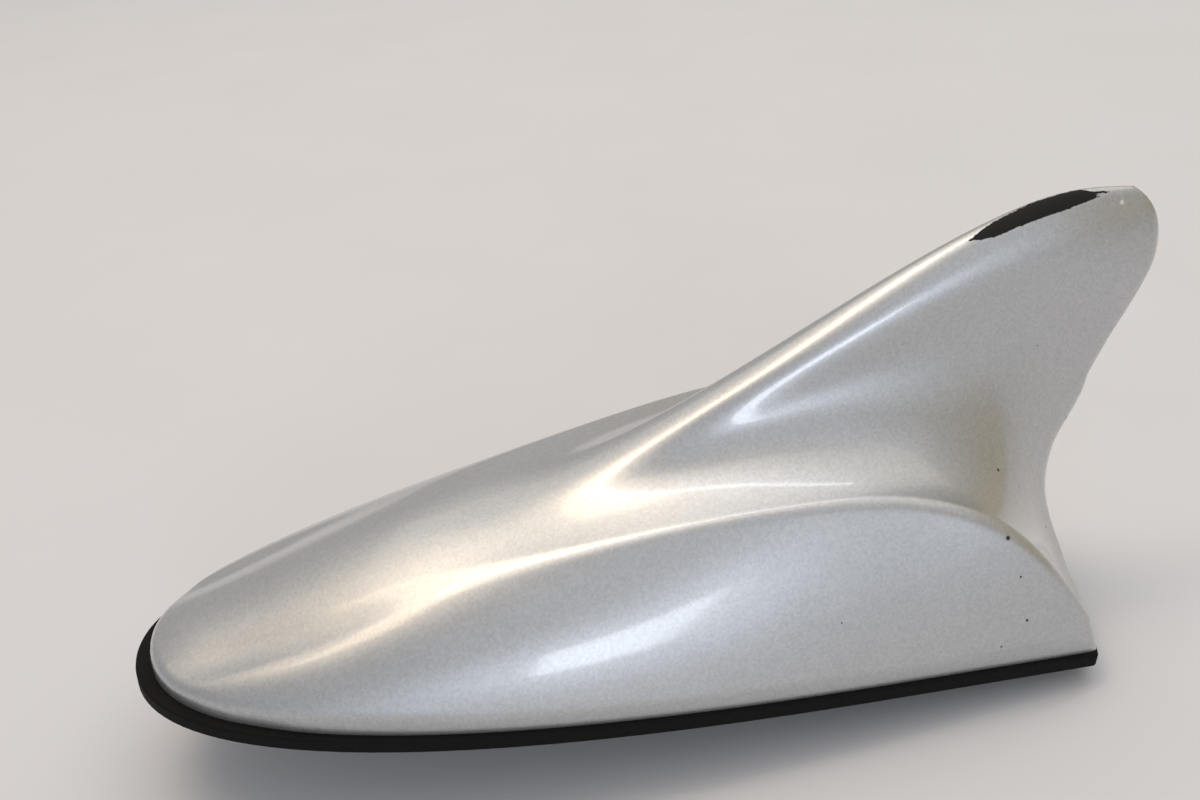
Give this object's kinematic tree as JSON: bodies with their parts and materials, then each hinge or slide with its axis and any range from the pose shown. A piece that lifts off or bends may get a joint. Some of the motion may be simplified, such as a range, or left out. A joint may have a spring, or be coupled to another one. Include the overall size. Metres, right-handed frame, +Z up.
{
  "type": "shark fin roof aerial",
  "caption": "Shark fin roof aerial: a painted fin-shaped cover on a rubber rim seal and a cast base with a threaded bolt bush, with aerial boards inside.",
  "frame": {"origin": "on the axis of the roof bolt, in the plane where the rim seal meets the roof", "axes": "+X from the nose to the tail, +Z up out of the roof, the part is symmetric about the XZ plane but for the loading coil"},
  "size_m": [0.1673, 0.0654, 0.0781],
  "materials": {
    "silver_paint": "silver metallic paint under clear coat on moulded plastic",
    "black_rubber": "matte black moulded rubber",
    "cast_alloy": "as-cast grey alloy",
    "black_foam": "closed-cell foam",
    "circuit_board": "green solder mask on glass-epoxy board",
    "zinc_steel": "zinc-plated steel",
    "socket_plastic": "black moulded plastic",
    "gilt_brass": "gold-plated brass",
    "patch_ceramic": "dense beige ceramic",
    "adhesive_foam": "grey adhesive foam",
    "silvering": "fired silver layer",
    "tinplate": "tinned sheet steel",
    "holder_plastic": "natural moulded plastic",
    "spring_bronze": "phosphor bronze strip",
    "ferrite": "sintered ferrite",
    "copper_wire": "enamelled copper wire"
  },
  "bodies": {
    "root": {"fin_cover": "silver_paint", "rim_seal": "black_rubber", "base_plate": "cast_alloy", "bolt_bush": "zinc_steel", "roof_foam": "black_foam", "main_board": "circuit_board", "board_screws": "zinc_steel", "cover_screws": "zinc_steel", "harness_socket": "socket_plastic", "coax_pins": "gilt_brass", "coax_sleeves": "gilt_brass", "satellite_patch": "patch_ceramic", "patch_pad": "adhesive_foam", "patch_electrode": "silvering", "patch_pin": "gilt_brass", "amplifier_can": "tinplate", "mobile_element": "tinplate", "fin_board": "circuit_board", "fin_board_holder": "holder_plastic", "fin_board_pads": "adhesive_foam", "feed_clip": "spring_bronze", "coil_core": "ferrite", "coil_winding": "copper_wire"}
  },
  "joints": []
}
